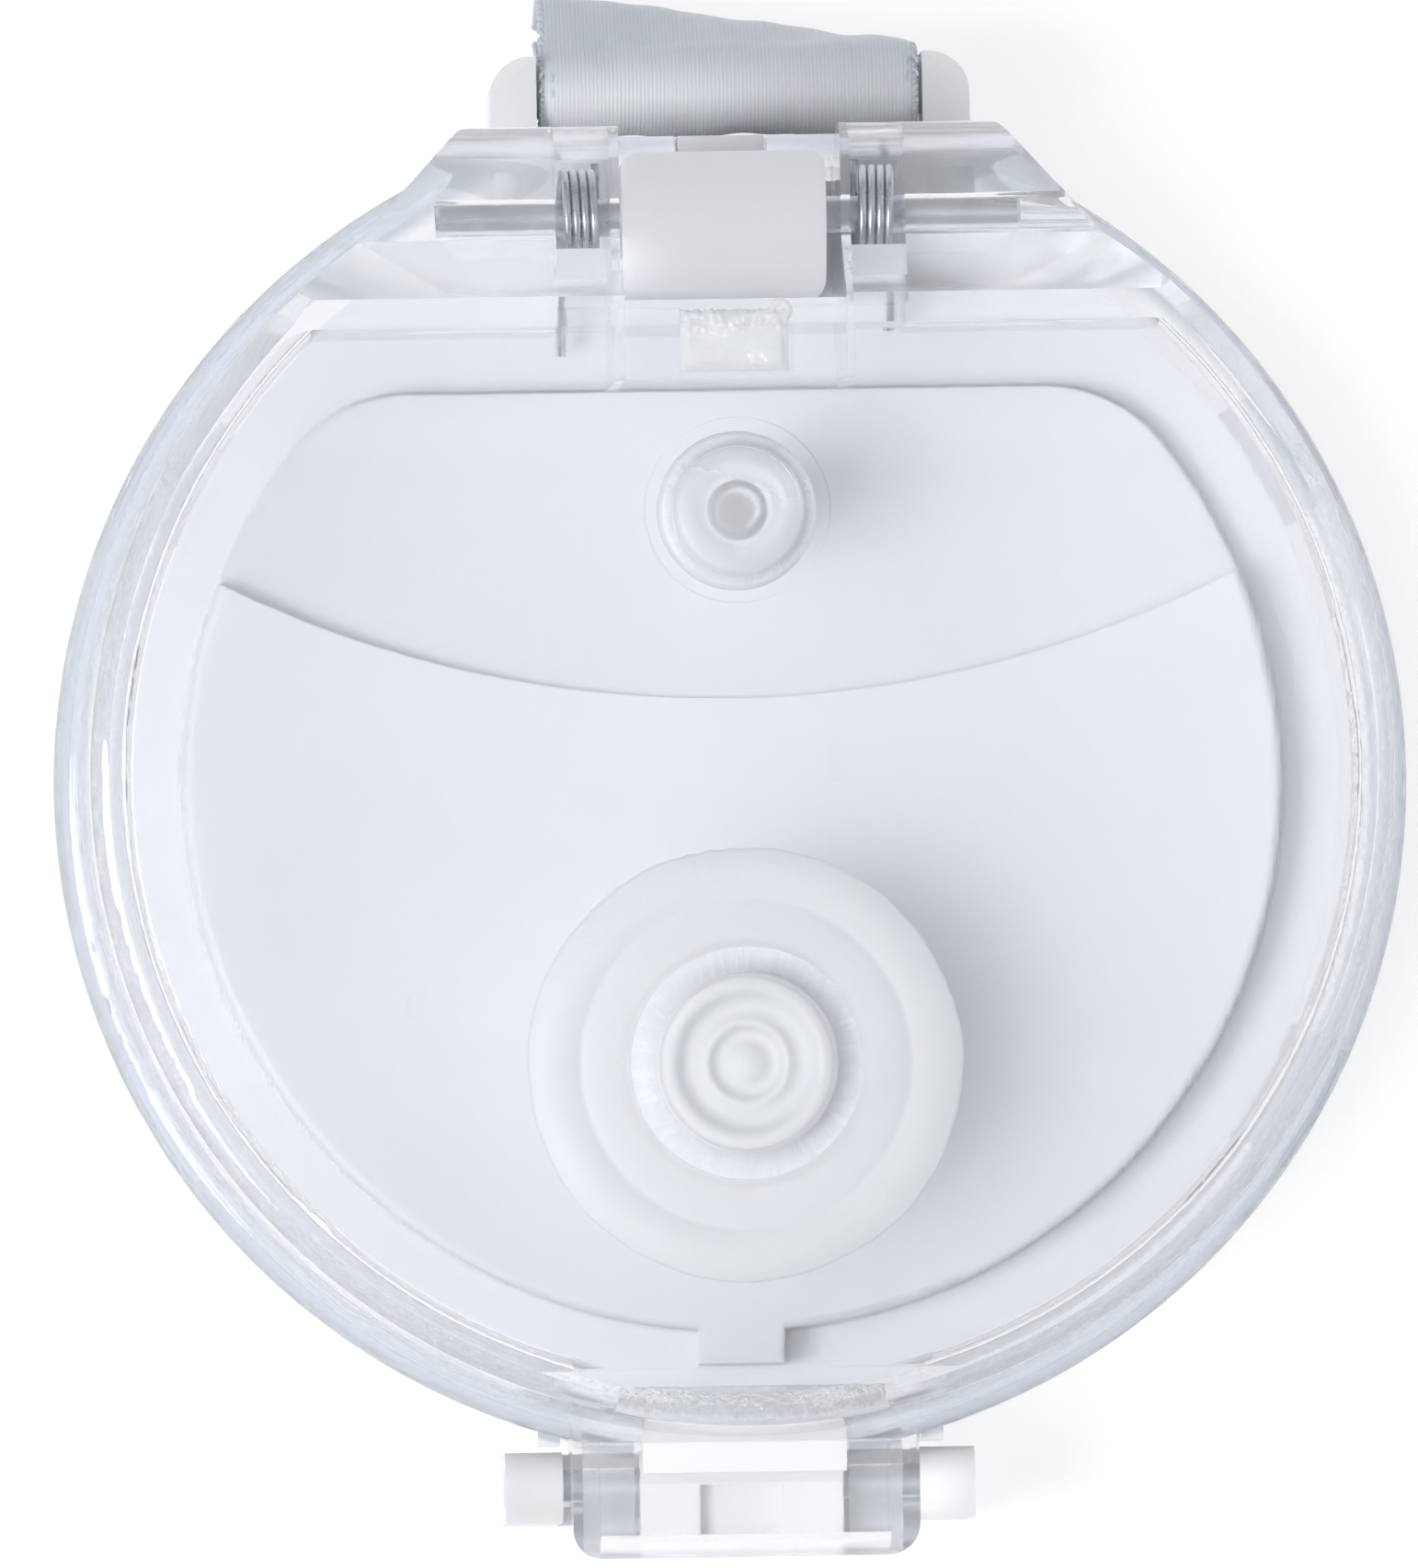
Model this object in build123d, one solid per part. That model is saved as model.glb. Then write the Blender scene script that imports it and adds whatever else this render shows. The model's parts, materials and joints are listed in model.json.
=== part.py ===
from build123d import *
import math
import os

# Flip-top bottle lid: a clear cover on a sprung steel hinge pin, a white threaded cap with a drinking
# spout inside a clear outer shell, a rocking latch button, a swinging lock ring and a webbing loop.
# Millimetres. The origin is on the cap's axis in the plane of its open bottom rim. +Z is up, +Y is
# towards the hinge and -Y towards the latch.

# ---- overall sizes ----
thread_root_radius = 29.6     # of the neck thread, the size that the whole lid grows from
base_height = 18.0            # top of the outer shell's deck flange
lid_height = 35.0             # top of the closed cover
cover_gap = 0.3               # between the shell's flange and the cover's rim
piece_gap = 0.15              # between fixed pieces that fit in each other
swing_gap = 0.25              # between pieces that pass each other
past = 1.0                    # how far a cut runs past what it cuts
sunk = 0.5                    # how far a feature runs into what it stands on
pin_chamfer = 0.2

# ---- outer shell ----
shell_wall = 1.6
shell_gap = 2.5               # between the cap's skirt and the shell's wall
flange_thickness = 1.8
shell_edge_round = 1.2
shell_bottom_bevel = 0.4
snap_rib_count = 6
snap_rib_width = 7.0
snap_rib_edge = 0.8           # height of the rib's inner edge
snap_rib_ramp = 2.2           # height of the rib at the wall
snap_rib_sunk = 0.4
front_flat = 1.0              # how far the latch flat lies inside the shell's circle
rear_flat = 1.6               # how far the strap flat lies inside the shell's circle

# ---- inner cap ----
neck_land_relief = 0.6        # plain entry for the neck, past the thread's root
neck_land_length = 2.4
thread_depth = 1.1
thread_pitch = 4.0
thread_gap = 2.6              # between the ridge's end and the gasket
thread_start = 3.6            # height of the ridge's centre where it starts
thread_root_width = 1.9
thread_crest_width = 0.9
cap_wall = 2.3
shoulder_overhang = 0.6       # shoulder beyond the skirt, held by the shell's snap ribs
shoulder_thickness = 2.0
deck_inset = 0.4              # deck's edge inside the thread's root
deck_rise = 0.8               # deck above the shell's flange
deck_rear_gap = 2.9           # deck's straight rear edge to the cover's rear wall
deck_corner = 8.0
deck_thickness = 3.6
seat_width = 3.6              # seat of the gasket, in from the thread's root
basin_depth = 1.6
basin_length = 16.4           # basin on the centre line, from the deck's rear edge
basin_arc = 60.0
basin_floor_arc = 44.0
basin_low_inset = 5.8         # basin's deepest line, from the deck's rear edge
key_width = 4.4
key_reach = 1.7
rear_key_half = 2.3
edge_round = 0.5

# ---- spout and vent ----
spout_inset = 13.9            # spout's centre behind the deck's front edge
spout_bore_radius = 6.9
spout_wall = 2.0
spout_base_flare = 1.5
spout_foot = 0.4              # height of the flare's straight foot
spout_flare_rise = 0.6
spout_draft = 0.3
spout_lip = 1.2               # straight part at the mouth
vent_inset = 6.9              # vent's centre in front of the deck's rear edge
vent_bore_radius = 0.9
vent_wall = 1.5
vent_base_flare = 0.6
vent_foot_drop = 0.6          # top of the foot below the deck
vent_flare_top = 1.2          # end of the flare above the deck
vent_draft = 0.2

# ---- gasket and valve ----
gasket_thickness = 1.5
gasket_width = 3.2
valve_radius = 3.2
valve_thickness = 0.8
valve_stem_length = 4.0
valve_bulb = 0.25
valve_bulb_radius = 1.0
valve_lip = 0.35              # thickness of the umbrella's edge
valve_stem_gap = 0.05
valve_tip_radius = 0.4
valve_tip_length = 0.6

# ---- cover ----
cover_inset = 1.0             # cover's rim inside the shell
cover_draft = 0.6             # how much smaller the cover is at its top
cover_wall = 1.7
plate_thickness = 2.0
plate_sunk = 0.2              # bosses and ribs run this far into the top plate
cover_edge_round = 1.0
facet_angle = 52.5            # of each corner facet from the rear, about +Z
facet_depth = 1.3
front_wall = 3.7              # thick front wall, flat inside
front_pocket_wall = 1.1       # outer wall of the pocket over the latch
front_pocket_side = 1.6       # pocket past the button on each side
front_skin = 1.0

# ---- hinge ----
hinge_inset = 6.2             # pin inside the shell's circle
hinge_rise = 6.2              # pin above the cover's rim
pin_radius = 1.0
pin_length = 31.0
pin_press_gap = 0.01
pin_running_gap = 0.06
block_rear = 4.7              # block behind the pin
block_height = 4.7            # block above the pin
block_rear_half = 14.2
block_front_half = 19.7
block_foot_half = 21.2
block_slope_reach = 1.3       # foot of the block's slope in front of the pin
block_corner_round = 1.2
rear_wall = 1.5               # between the cavity and the hinge notch
notch_gap = 0.45              # between the knuckle and each ear
ear_wall = 0.5                # thin wall between the notch and each spring slot
slot_width = 2.9
slot_open_rear = 0.9          # spring slot open below as far as this behind the pin
slot_leg_gap = 0.8            # spring slot past the end of the spring's leg
rib_length = 4.4
rib_rise = 0.7                # ribs above the cover's rim
pocket_depth = 1.0            # gate pocket in the top plate
gate_half = 3.05
gate_length = 3.6
gate_height = 0.8
knuckle_half = 5.4
knuckle_shift = -0.3          # knuckle to the side of the notch's middle
knuckle_front = 4.6           # knuckle in front of the pin
knuckle_rear = 3.3
knuckle_round = 1.0

# ---- hinge springs ----
spring_outer_radius = 2.65
spring_wire = 0.45
spring_pitch = 0.47
spring_turns = 4.0
base_leg_reach = {"left": 7.3, "right": 6.2}
cover_leg_reach = 3.0

# ---- seals ----
spout_ring_outer = 6.15
spout_ring_inner = 4.8
spout_ring_drop = 2.4
vent_ring_outer = 4.9
vent_ring_inner = 3.5
vent_ring_drop = 2.4
seal_radius = 11.6
seal_thickness = 1.2
seal_plug_depth = 1.4
seal_plug_wall = 1.6
seal_plug_gap = 0.4           # between the plug and the spout's bore
seal_bevel = 0.3
seal_hub_gap = 0.2            # between a seal's hub and the top plate
seal_seat_gap = 0.1
vent_pad_radius = 4.2

# ---- latch ----
latch_reach = 2.3             # pin in front of the shell's front flat
latch_drop = 3.1              # pin below the lip's underside
latch_pin_inset = 0.2         # pin's ends inside the ring's arms
button_side_gap = 0.3         # between the button and each lug
lug_thickness = 2.8
lug_reach = 2.3               # lug in front of the pin
lug_top = 2.6                 # lug above the pin
lug_bottom = 8.6              # lug below the pin
button_half = 5.4
button_front = 3.2            # button in front of the pin
button_bottom = 8.8
button_hub_radius = 2.2
button_back_gap = 1.4         # room for the press, behind the pad
arm_thickness = 1.3
arm_gap = 0.4                 # between the hook's arm and the cover's wall
hook_rise = 2.8               # hook above the cover's rim
hook_height = 1.2
hook_reach = 0.8              # hook past the cover's outer face
window_play = 0.25
button_edge_round = 0.8
button_notch_half = 2.2
button_notch_length = 1.8
button_notch_depth = 0.8
button_spring_drop = 6.6      # spring below the pin
button_spring_radius = 1.7
button_spring_wire = 0.4
button_spring_turns = 3.0
spring_pocket_depth = 2.0
spring_boss_height = 0.5
spring_boss_gap = 0.15        # between the boss and the spring
spring_pocket_gap = 0.2       # between the spring and its pocket

# ---- thumb lip ----
lip_lug_gap = 0.7             # lip's side past each lug
lip_reach = 3.9               # lip in front of the pin
lip_rise = 4.7                # lip above the cover's rim
lip_drop = 2.0                # lip below the cover's rim
lip_top_wall = 1.4
lip_side_wall = 1.5
lip_front_wall = 1.4
lip_nose_round = 3.0
lip_corner_round = 1.6
lip_flare = 1.2

# ---- lock ring ----
ring_arm_thickness = 3.05
ring_arm_width = 3.8
lip_bar_gap = 0.4             # crossbar past the lip when the ring is up
ring_bar_thickness = 2.5
ring_corner_round = 1.2
ring_inner_round = 0.6
stop_nub_width = 1.2
stop_nub_gap = 0.3            # between the nubs and the ring's arms

# ---- strap ----
bar_reach = 2.9               # bar behind the shell's rear flat
bar_radius = 1.5
bracket_shift = 0.7           # bracket and webbing to the side of the middle
strap_side_gap = 0.3          # between the webbing and each arm
bracket_arm = 2.5
bracket_height = 6.0
bracket_end = 0.2             # arms past the bar
bracket_corner = 2.2
barb_gap = 0.2                # barbs to the shell's wall and the cap
barb_height = 0.6
barb_length = 0.95
strap_width = 20.0
strap_thickness = 1.0
strap_gap = 0.1               # between the bar and the webbing
strap_floor_gap = 0.6         # loop above the table when it hangs straight
strap_lean = 12.0             # degrees that the loop leans back from straight down
strap_close = 0.55            # share of the drop where the two layers meet
tack_inset = 2.4              # bar tack above the loop's end
tack_height = 1.6
tack_length = 16.0
tack_proud = 0.25

rim_z = base_height + cover_gap
plate_z = lid_height - plate_thickness
deck_z = base_height + deck_rise
mouth_z = plate_z - spout_ring_drop - seal_thickness - seal_seat_gap
shoulder_z = base_height - flange_thickness - piece_gap
ceiling_z = shoulder_z - shoulder_thickness
deck_ceiling_z = deck_z - deck_thickness

neck_land_radius = thread_root_radius + neck_land_relief
skirt_radius = thread_root_radius + cap_wall
shoulder_radius = skirt_radius + shoulder_overhang
shell_inner_radius = skirt_radius + shell_gap
body_radius = shell_inner_radius + shell_wall
front_flat_y = body_radius - front_flat
rear_flat_y = body_radius - rear_flat
cover_radius = body_radius - cover_inset
far = body_radius + 10        # past the whole body

hinge_y = body_radius - hinge_inset
hinge_z = rim_z + hinge_rise
block_slope_top = hinge_y - knuckle_front
block_slope_foot = hinge_y - block_slope_reach
notch_half = knuckle_half + notch_gap
slot_inner = notch_half + ear_wall
slot_outer = slot_inner + slot_width
slot_rear = cover_leg_reach + slot_leg_gap
rib_front = block_slope_top - rib_length

deck_radius = thread_root_radius - deck_inset
deck_rear = block_slope_top - rear_wall - deck_rear_gap
seat_radius = thread_root_radius - seat_width
thread_height = ceiling_z - gasket_thickness - thread_gap - thread_start - thread_root_width / 2
basin_front = deck_rear - basin_length
basin_low_y = deck_rear - basin_low_inset
spout_y = spout_inset - deck_radius
vent_y = deck_rear - vent_inset

front_wall_inner = cover_radius - front_wall
front_pocket_radius = cover_radius - front_pocket_wall
lip_top = rim_z + lip_rise
latch_y = -front_flat_y - latch_reach
lip_bottom = rim_z - lip_drop
latch_z = lip_bottom - latch_drop
lip_front = lip_reach - latch_y
hook_top = rim_z + hook_rise - latch_z
lug_half_inner = button_half + button_side_gap
button_spring_z = latch_z - button_spring_drop
lip_half = lug_half_inner + lug_thickness + lip_lug_gap
ring_bar_radius = lip_top + lip_bar_gap - latch_z
ring_inner_half = lip_half + swing_gap
ring_outer_half = ring_inner_half + ring_arm_thickness

bar_y = rear_flat_y + bar_reach
bar_z = ceiling_z - barb_gap - barb_height - bracket_height / 2
bracket_half = strap_width / 2 + strap_side_gap + bracket_arm
bracket_rear = bar_y + bar_radius + bracket_end
barb_rear = math.sqrt(shell_inner_radius ** 2 - (bracket_half + bracket_shift) ** 2) - barb_gap
strap_drop = bar_z - strap_floor_gap
tack_drop = strap_drop - tack_inset


def block(x0, x1, y0, y1, z0, z1):
    """A box between two corners."""
    size = Box(x1 - x0, y1 - y0, z1 - z0)
    return Pos((x0 + x1) / 2, (y0 + y1) / 2, (z0 + z1) / 2) * size


def post(radius, x, y, z0, z1):
    """A cylinder along Z."""
    return Pos(x, y, (z0 + z1) / 2) * Cylinder(radius, z1 - z0)


def rod(radius, x0, x1, y, z):
    """A cylinder along X."""
    return Pos((x0 + x1) / 2, y, z) * Rot(0, 90, 0) * Cylinder(radius, x1 - x0)


def turned(points, x=0.0, y=0.0):
    """A solid turned about a vertical axis at x, y, from (radius, height) points."""
    face = make_face(Polyline(*[(r, 0, z) for r, z in points], close=True))
    return Pos(x, y, 0) * revolve(face, axis=Axis.Z)


def across(points, x0, x1):
    """A prism along X with the (y, z) outline."""
    face = make_face(Polyline(*[(x0, y, z) for y, z in points], close=True))
    return extrude(face, amount=x1 - x0, dir=(1, 0, 0))


def upright(points, z0, z1):
    """A prism along Z with the (x, y) outline."""
    face = make_face(Polyline(*[(x, y, z0) for x, y in points], close=True))
    return extrude(face, amount=z1 - z0, dir=(0, 0, 1))


def both_sides(shape):
    """The shape and its mirror image in X."""
    return shape + mirror(shape, about=Plane.YZ)


def round_upright(shape, radius, chosen=lambda e: True):
    """The shape with its chosen vertical edges rounded."""
    edges = [e for e in shape.edges().filter_by(Axis.Z) if chosen(e)]
    return fillet(edges, radius)


def single(shape):
    """The one solid of a shape. It stops the build if the shape has come apart."""
    (solid,) = shape.solids()
    return solid


# ---- outer shell ----

def deck_outline(grow, z0, z1):
    """The deck's outline, a circle cut straight at the rear, grown all round."""
    radius = deck_radius + grow
    rear = deck_rear + grow
    plan = Circle(radius) & (Pos(0, (rear - radius) / 2) * Rectangle(2 * radius, rear + radius))
    plan = fillet(plan.vertices(), deck_corner)
    return Pos(0, 0, z0) * extrude(plan, amount=z1 - z0)


def key_tab(grow, z0, z1):
    """The small key on the deck's front edge."""
    half = key_width / 2 + grow
    return block(-half, half, -deck_radius - key_reach - grow, -deck_radius + 2, z0, z1)


def rear_key(grow, z0, z1):
    """The small key behind the knuckle, flush with the shell's rear flat."""
    half = rear_key_half + grow
    return block(-half, half, hinge_y, rear_flat_y + grow, z0, z1)


def shell_flats(inset, z0, z1):
    """The solid inside the shell's front and rear flats, set in by a wall."""
    return block(-far, far, inset - front_flat_y, rear_flat_y - inset, z0, z1)


def outer_shell():
    """Clear skirt with a deck flange, the latch lugs and snap ribs."""
    r = body_radius
    skin = turned([
        (0, 0), (r - shell_bottom_bevel, 0), (r, shell_bottom_bevel * 2), (r, base_height),
        (0, base_height),
    ])
    skin = fillet(skin.edges().sort_by(Axis.Z)[-1:], shell_edge_round)
    skin = skin & shell_flats(0, 0, base_height)
    hollow = post(shell_inner_radius, 0, 0, -1, base_height - flange_thickness)
    hollow = hollow & shell_flats(shell_wall, -1, base_height)
    shell = skin - hollow
    shell = shell - deck_outline(piece_gap, ceiling_z, base_height + past)
    shell = shell - key_tab(piece_gap, ceiling_z, base_height + past)
    opening = knuckle_half + abs(knuckle_shift) + piece_gap
    front = hinge_y - knuckle_front - piece_gap
    rear = hinge_y + knuckle_rear + piece_gap
    shell = shell - block(-opening, opening, front, rear, ceiling_z, base_height + past)
    shell = shell - rear_key(piece_gap, ceiling_z, base_height + past)
    shell = shell + snap_ribs() + latch_lugs() + stop_nubs() + spring_boss()
    shell = shell - bracket_slots()
    shell = shell - rod(pin_radius + pin_press_gap, -r, r, latch_y, latch_z)
    return single(shell)


def snap_ribs():
    """Ribs inside the skirt that hold the cap's shoulder up against the flange."""
    inner = skirt_radius + piece_gap
    top = ceiling_z - piece_gap
    outer = shell_inner_radius + snap_rib_sunk
    full = turned([(inner, top - snap_rib_edge), (inner, top), (outer, top), (outer, top - snap_rib_ramp)])
    ribs = []
    for i in range(snap_rib_count):
        wedge = block(20, far, -snap_rib_width / 2, snap_rib_width / 2, 0, top)
        wedge = Rot(0, 0, 30 + i * 360 / snap_rib_count) * wedge
        ribs.append(full & wedge)
    return (ribs[0] + ribs[1:]) & shell_flats(shell_wall / 2, 0, base_height)


def latch_lugs():
    """Two clear lugs on the front flat that carry the latch pin."""
    y0 = latch_y - lug_reach
    z0 = latch_z - lug_bottom
    z1 = latch_z + lug_top
    lug = block(lug_half_inner, lug_half_inner + lug_thickness, y0, sunk - front_flat_y, z0, z1)
    ends = [e for e in lug.edges().filter_by(Axis.X) if e.center().Y < y0 + 0.1]
    return both_sides(fillet(ends, lug_reach * 0.9))


def stop_nubs():
    """Small nubs beside the lugs that the hanging ring's arms rest near."""
    x0 = ring_inner_half + piece_gap
    y0 = latch_y + ring_arm_width / 2 + stop_nub_gap
    nub = block(x0, x0 + stop_nub_width, y0, 1 - front_flat_y, latch_z - 1, base_height - 2)
    inside = post(body_radius - 0.3, 0, 0, 0, base_height)
    return both_sides(nub - inside)


def spring_boss():
    """Round boss on the front flat that centres the button's spring."""
    radius = button_spring_radius - button_spring_wire - spring_boss_gap
    boss = Rot(90, 0, 0) * Cylinder(radius, spring_boss_height + sunk)
    return Pos(0, (sunk - spring_boss_height) / 2 - front_flat_y, button_spring_z) * boss


def bracket_slots():
    """Slots in the rear of the shell for the strap bracket's arms."""
    gap = piece_gap
    slot = block(
        bracket_half - bracket_arm - gap, bracket_half + gap, 25, body_radius + past,
        bar_z - bracket_height / 2 - gap, bar_z + bracket_height / 2 + gap,
    )
    return Pos(bracket_shift, 0, 0) * both_sides(slot)


# ---- inner cap ----

def spout():
    """Round drinking spout with a flared base."""
    r = spout_bore_radius + spout_wall
    base = deck_z - past
    shape = turned([
        (0, base), (r + spout_base_flare, base), (r + spout_base_flare, deck_z + spout_foot),
        (r + spout_draft, deck_z + spout_base_flare + spout_flare_rise), (r, mouth_z - spout_lip),
        (r, mouth_z),
        (0, mouth_z),
    ], y=spout_y)
    top = shape.edges().sort_by(Axis.Z)[-1:]
    return fillet(top, spout_wall * 0.4)


def vent_tube():
    """Slim air tube behind the spout."""
    r = vent_bore_radius + vent_wall
    base = deck_ceiling_z + 1
    return turned([
        (0, base), (r + vent_base_flare, base), (r + vent_base_flare, deck_z - vent_foot_drop),
        (r, deck_z + vent_flare_top), (r - vent_draft, mouth_z), (0, mouth_z),
    ], y=vent_y)


def knuckle():
    """Hinge knuckle between the cover's ears, on a stem from the shoulder."""
    y0 = hinge_y - knuckle_front
    y1 = hinge_y + knuckle_rear
    stem = block(-knuckle_half, knuckle_half, y0, y1, ceiling_z, hinge_z)
    barrel = rod(knuckle_front, -knuckle_half, knuckle_half, hinge_y, hinge_z)
    top = hinge_z + knuckle_front
    plan = block(-knuckle_half, knuckle_half, y0, y1, ceiling_z, top)
    return Pos(knuckle_shift, 0, 0) * ((stem + barrel) & round_upright(plan, knuckle_round))


def basin():
    """The shallow lens-shaped basin behind the spout, to be cut from the deck."""
    plan = post(basin_arc, 0, basin_front + basin_arc, deck_z - basin_depth - 1, deck_z + past)
    floor_z = deck_z - basin_depth + basin_floor_arc
    bowl = rod(basin_floor_arc, -far, far, basin_low_y, floor_z)
    return plan & bowl


def thread_ridge():
    """Internal thread: one ridge on a helix, its root sunk a little in the wall."""
    sunk = 0.3
    path = Helix(pitch=thread_pitch, height=thread_height, radius=thread_root_radius)
    outline = make_face(Polyline(
        (thread_root_radius + sunk, 0, -thread_root_width / 2),
        (thread_root_radius - thread_depth, 0, -thread_crest_width / 2),
        (thread_root_radius - thread_depth, 0, thread_crest_width / 2),
        (thread_root_radius + sunk, 0, thread_root_width / 2),
        close=True,
    ))
    ridge = sweep(outline, path=path, is_frenet=True)
    return Pos(0, 0, thread_start) * ridge


def inner_cap():
    """White cap: threaded skirt, shoulder, deck, spout, vent tube and knuckle."""
    body = turned([
        (0, ceiling_z), (skirt_radius, ceiling_z), (shoulder_radius, ceiling_z),
        (shoulder_radius, shoulder_z), (0, shoulder_z),
    ])
    deck = deck_outline(0, shoulder_z - sunk, deck_z)
    deck = fillet(deck.faces().sort_by(Axis.Z)[-1].edges(), edge_round)
    deck = deck - basin()
    body = body + deck + key_tab(0, shoulder_z - sunk, deck_z)
    skirt = turned([
        (neck_land_radius, 0), (skirt_radius, 0), (skirt_radius, ceiling_z + sunk),
        (thread_root_radius, ceiling_z + sunk), (thread_root_radius, neck_land_length + 0.6),
        (neck_land_radius, neck_land_length),
    ])
    body = body + skirt + spout() + vent_tube() + knuckle() + rear_key(0, ceiling_z, base_height)
    body = body - post(seat_radius, 0, 0, ceiling_z - past, deck_ceiling_z)
    body = body - post(spout_bore_radius, 0, spout_y, 0, lid_height)
    body = body - post(vent_bore_radius, 0, vent_y, 0, lid_height)
    body = body - rod(pin_radius + pin_running_gap, -far, far, hinge_y, hinge_z)
    body = body + thread_ridge()
    return single(body)


def neck_gasket():
    """Flat silicone ring that the bottle's rim presses on."""
    outer = thread_root_radius - piece_gap
    z0 = ceiling_z - gasket_thickness
    ring = turned([
        (outer - gasket_width, z0), (outer, z0), (outer, ceiling_z), (outer - gasket_width, ceiling_z),
    ])
    return single(ring)


def vent_valve():
    """Umbrella valve under the deck, its stem in the vent bore."""
    z1 = deck_ceiling_z
    z0 = z1 - valve_thickness
    stem = vent_bore_radius - valve_stem_gap
    top = z1 + valve_stem_length
    valve = turned([
        (0, z0 - valve_bulb), (valve_bulb_radius, z0 - valve_bulb), (valve_radius, z1 - valve_lip),
        (valve_radius, z1),
        (stem, z1), (stem, top - valve_tip_length), (valve_tip_radius, top), (0, top),
    ], y=vent_y)
    return single(valve)


# ---- cover ----

def cover_profile():
    """Outside of the cover as a closed solid."""
    top_radius = cover_radius - cover_draft
    solid = turned([(0, rim_z), (cover_radius, rim_z), (top_radius, lid_height), (0, lid_height)])
    return fillet(solid.edges().sort_by(Axis.Z)[-1:], cover_edge_round)


def cavity_profile():
    """Inside of the cover as a closed solid."""
    bottom = cover_radius - cover_wall
    top = bottom - cover_draft
    solid = turned([(0, rim_z - past), (bottom, rim_z - past), (top, plate_z), (0, plate_z)])
    solid = fillet(solid.edges().sort_by(Axis.Z)[-1:], cover_edge_round * 0.6)
    rear = block_slope_top - rear_wall
    return solid & block(-far, far, -front_wall_inner, rear, rim_z - past, plate_z)


def hinge_step():
    """What is cut off the cover's round body above and behind the hinge block."""
    top = hinge_z + block_height
    return across([
        (block_slope_top, lid_height + 0.01), (block_slope_foot, top), (50, top), (50, lid_height + 0.01),
    ], -far, far)


def corner_facets():
    """Two sloping facets on the cover's upper rear corners."""
    reach = cover_radius - cover_draft - facet_depth
    cutter = Pos(0, reach, lid_height) * Rot(45, 0, 0) * Pos(0, far / 2, 0) * Box(far, far, far)
    return both_sides(Rot(0, 0, facet_angle) * cutter)


def hinge_side():
    """What the cover may fill: in front of the pin, and a rounded block behind it that can turn."""
    top = hinge_z + block_height
    rear = hinge_y + block_rear
    crown = block(-far, far, hinge_y, rear, hinge_z, top)
    corner = [
        e for e in crown.edges().filter_by(Axis.X) if e.center().Y > rear - 0.1 and e.center().Z > top - 0.1
    ]
    crown = fillet(corner, block_corner_round)
    front = block(-far, far, -far, hinge_y, rim_z, lid_height)
    return front + rod(block_rear, -far, far, hinge_y, hinge_z) + crown


def hinge_block():
    """Clear block round the hinge pin, tapered towards the rear."""
    top = hinge_z + block_height
    rear = hinge_y + block_rear
    inner = block_slope_top - rear_wall
    plan = upright([
        (-block_rear_half, rear), (-block_front_half, block_slope_foot), (-block_foot_half, block_slope_top),
        (-block_foot_half, inner), (block_foot_half, inner), (block_foot_half, block_slope_top),
        (block_front_half, block_slope_foot), (block_rear_half, rear),
    ], rim_z, top)
    return round_upright(plan, block_corner_round, lambda e: e.center().Y > rear - 0.1)


def hinge_cuts():
    """The knuckle's notch, the spring slots, the pin's bore and the gate pocket."""
    top = hinge_z + block_height
    cuts = block(-notch_half, notch_half, block_slope_top - 0.2, 50, rim_z - past, lid_height + past)
    slot_front = block_slope_top - 0.4
    open_rear = hinge_y + slot_open_rear
    slot = block(slot_inner, slot_outer, slot_front, open_rear, rim_z - past, top + past)
    floor = hinge_z - spring_outer_radius - 0.1
    slot = slot + block(slot_inner, slot_outer, open_rear - 0.1, hinge_y + slot_rear, floor, top + past)
    leg_way = block(slot_inner, slot_outer, rib_front, slot_front, rim_z - past, hinge_z)
    cuts = cuts + both_sides(slot + leg_way)
    cuts = cuts + rod(pin_radius + pin_press_gap, -pin_length / 2, far, hinge_y, hinge_z)
    floor = lid_height - pocket_depth
    pocket = block(-notch_half, notch_half, rib_front, block_slope_top, floor, lid_height + past)
    return cuts + pocket


def inner_ribs():
    """Thin ribs that carry on from the notch's walls under the top plate."""
    rib = block(notch_half, slot_inner, rib_front, block_slope_top, rim_z + rib_rise, plate_z + plate_sunk)
    return both_sides(rib)


def seal_ring(outer, inner, drop, y):
    """A ring boss under the top plate that holds a seal."""
    z0 = plate_z - drop
    top = plate_z + plate_sunk
    return turned([(inner, z0), (outer, z0), (outer, top), (inner, top)], y=y)


def front_pocket():
    """Hollow in the thick front wall, open below, with a window for the hook."""
    half = button_half + front_pocket_side
    top = plate_z - 1
    hollow = block(-half, half, -far, -front_wall_inner - front_skin, rim_z - past, top)
    hollow = hollow & post(front_pocket_radius, 0, 0, rim_z - past, top)
    play = button_half + window_play
    hook_z = latch_z + hook_top
    window = block(-play, play, -cover_radius - past, -front_wall_inner - front_skin,
                   hook_z - hook_height - window_play, hook_z + window_play)
    return hollow + window


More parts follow.
